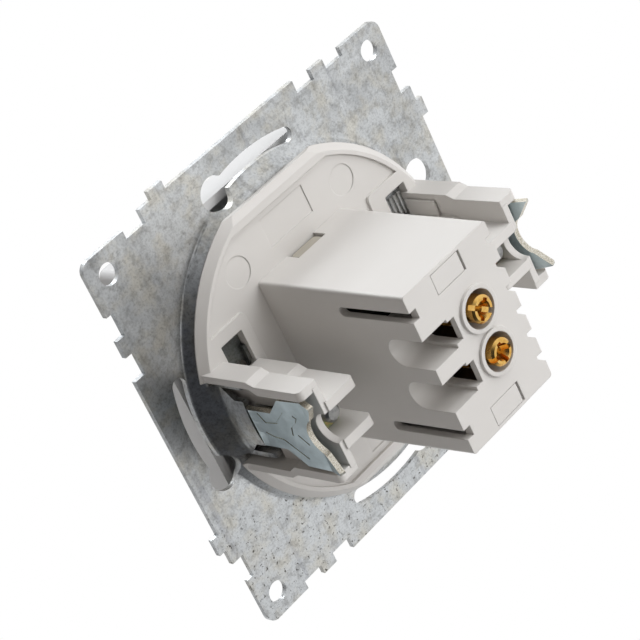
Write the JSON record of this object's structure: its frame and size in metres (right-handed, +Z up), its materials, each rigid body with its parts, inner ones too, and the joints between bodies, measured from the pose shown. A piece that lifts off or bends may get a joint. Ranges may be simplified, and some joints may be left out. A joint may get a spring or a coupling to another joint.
{
  "type": "double usb wall socket",
  "caption": "Wall socket insert for charging: square galvanised support plate with arc slots, white front plate, deep rear box with screw terminals and spreading claws.",
  "frame": {"origin": "centre of the rear face of the support plate, the plane that lies on the wall", "axes": "+Z up as installed, -Y out of the wall towards the user, +Y into the wall box, +X to the user's left seen from the rear"},
  "size_m": [0.0718, 0.0427, 0.0718],
  "materials": {
    "zinc_steel": "galvanised, finely mottled",
    "base_plastic": "warm grey-white moulded",
    "carrier_plastic": "grey-beige moulded",
    "cover_plastic": "glossy white",
    "board_green": "solder mask",
    "bright_shell": "tinned",
    "black_plastic": "black",
    "gold_contact": "gold flash",
    "ferrite": "ferrite",
    "yellow_tape": "tape",
    "sleeve": "shrink sleeve",
    "terminal_brass": "plain brass",
    "yellow_zinc": "yellow passivated, iridescent",
    "screw_zinc": "clear zinc"
  },
  "bodies": {
    "socket": {"support_plate": "zinc_steel", "base_moulding": "base_plastic", "front_carrier": "carrier_plastic", "front_cover": "cover_plastic", "board_carrier": "base_plastic", "circuit_board": "board_green", "usb_shell_upper": "bright_shell", "usb_shell_lower": "bright_shell", "usb_tongue_upper": "black_plastic", "usb_tongue_lower": "black_plastic", "usb_contacts_upper": "gold_contact", "usb_contacts_lower": "gold_contact", "transformer_core": "ferrite", "transformer_winding": "yellow_tape", "input_capacitor": "sleeve", "output_capacitor_front": "sleeve", "output_capacitor_rear": "sleeve", "controller_chip": "black_plastic", "rectifier_diode": "black_plastic", "terminal_body_upper": "terminal_brass", "terminal_body_lower": "terminal_brass", "claw_screw_left": "screw_zinc", "claw_screw_right": "screw_zinc"},
    "terminal_clamp_upper": {"clamp_plate_upper": "bright_shell", "terminal_screw_upper": "terminal_brass"},
    "terminal_clamp_lower": {"clamp_plate_lower": "bright_shell", "terminal_screw_lower": "terminal_brass"},
    "claw_nut_left_body": {"claw_nut_left": "yellow_zinc"},
    "claw_nut_right_body": {"claw_nut_right": "yellow_zinc"},
    "claw_left_body": {"claw_left": "zinc_steel"},
    "claw_right_body": {"claw_right": "zinc_steel"}
  },
  "joints": [
    {"name": "terminal_upper_tighten", "type": "slide", "parent": "socket", "child": "terminal_clamp_upper", "axis": [0, -1, 0], "range_m": [0, 0.0024]},
    {"name": "terminal_lower_tighten", "type": "slide", "parent": "socket", "child": "terminal_clamp_lower", "axis": [0, -1, 0], "range_m": [0, 0.0024]},
    {"name": "claw_left_spread", "type": "hinge", "parent": "socket", "child": "claw_left_body", "pos_m": [0.02458, 0.00947, 0], "axis": [0, 0, -1], "range_deg": [0, 14.2]},
    {"name": "claw_nut_left_travel", "type": "slide", "parent": "socket", "child": "claw_nut_left_body", "axis": [0, -1, 0], "range_m": [0, 0.0039]},
    {"name": "claw_right_spread", "type": "hinge", "parent": "socket", "child": "claw_right_body", "pos_m": [-0.02458, 0.00947, 0], "axis": [0, 0, 1], "range_deg": [0, 14.2]},
    {"name": "claw_nut_right_travel", "type": "slide", "parent": "socket", "child": "claw_nut_right_body", "axis": [0, -1, 0], "range_m": [0, 0.0039]}
  ],
  "couplings": [
    {"joint": "claw_nut_left_travel", "follows": "claw_left_spread", "m_per_rad": 0.015735},
    {"joint": "claw_nut_right_travel", "follows": "claw_right_spread", "m_per_rad": 0.015735}
  ]
}
